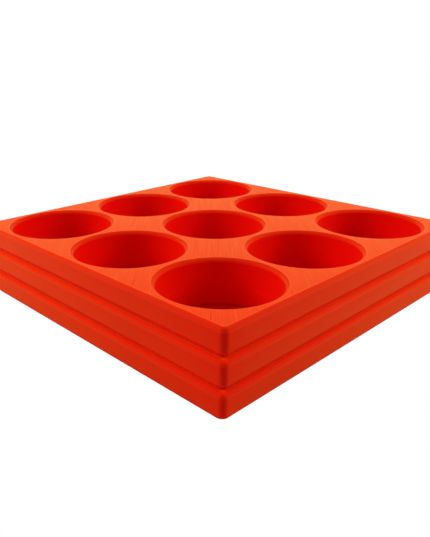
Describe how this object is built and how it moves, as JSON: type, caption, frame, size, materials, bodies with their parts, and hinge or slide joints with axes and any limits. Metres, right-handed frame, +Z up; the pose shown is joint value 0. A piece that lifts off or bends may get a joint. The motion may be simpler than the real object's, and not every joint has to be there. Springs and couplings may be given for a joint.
{
  "type": "paint rack organizer",
  "caption": "Square rack of three stacked plates with rounded edges and a grid of round pockets that hold paint jars.",
  "frame": {"origin": "centre of the rack's underside", "axes": "+Z up along the pockets, towards their mouths; X and Y along the sides, with -Y the front and -X the left side"},
  "size_m": [0.123, 0.123, 0.027],
  "materials": {
    "red_print": "satin printed plastic with fine layer lines"
  },
  "bodies": {
    "base": {"base_tier": "red_print"},
    "middle": {"middle_tier": "red_print"},
    "top": {"top_tier": "red_print"}
  },
  "joints": [
    {"name": "lift_middle", "type": "slide", "parent": "base", "child": "middle", "axis": [0, 0, 1], "range_m": [0, 0.03]},
    {"name": "lift_top", "type": "slide", "parent": "middle", "child": "top", "axis": [0, 0, 1], "range_m": [0, 0.03]}
  ]
}
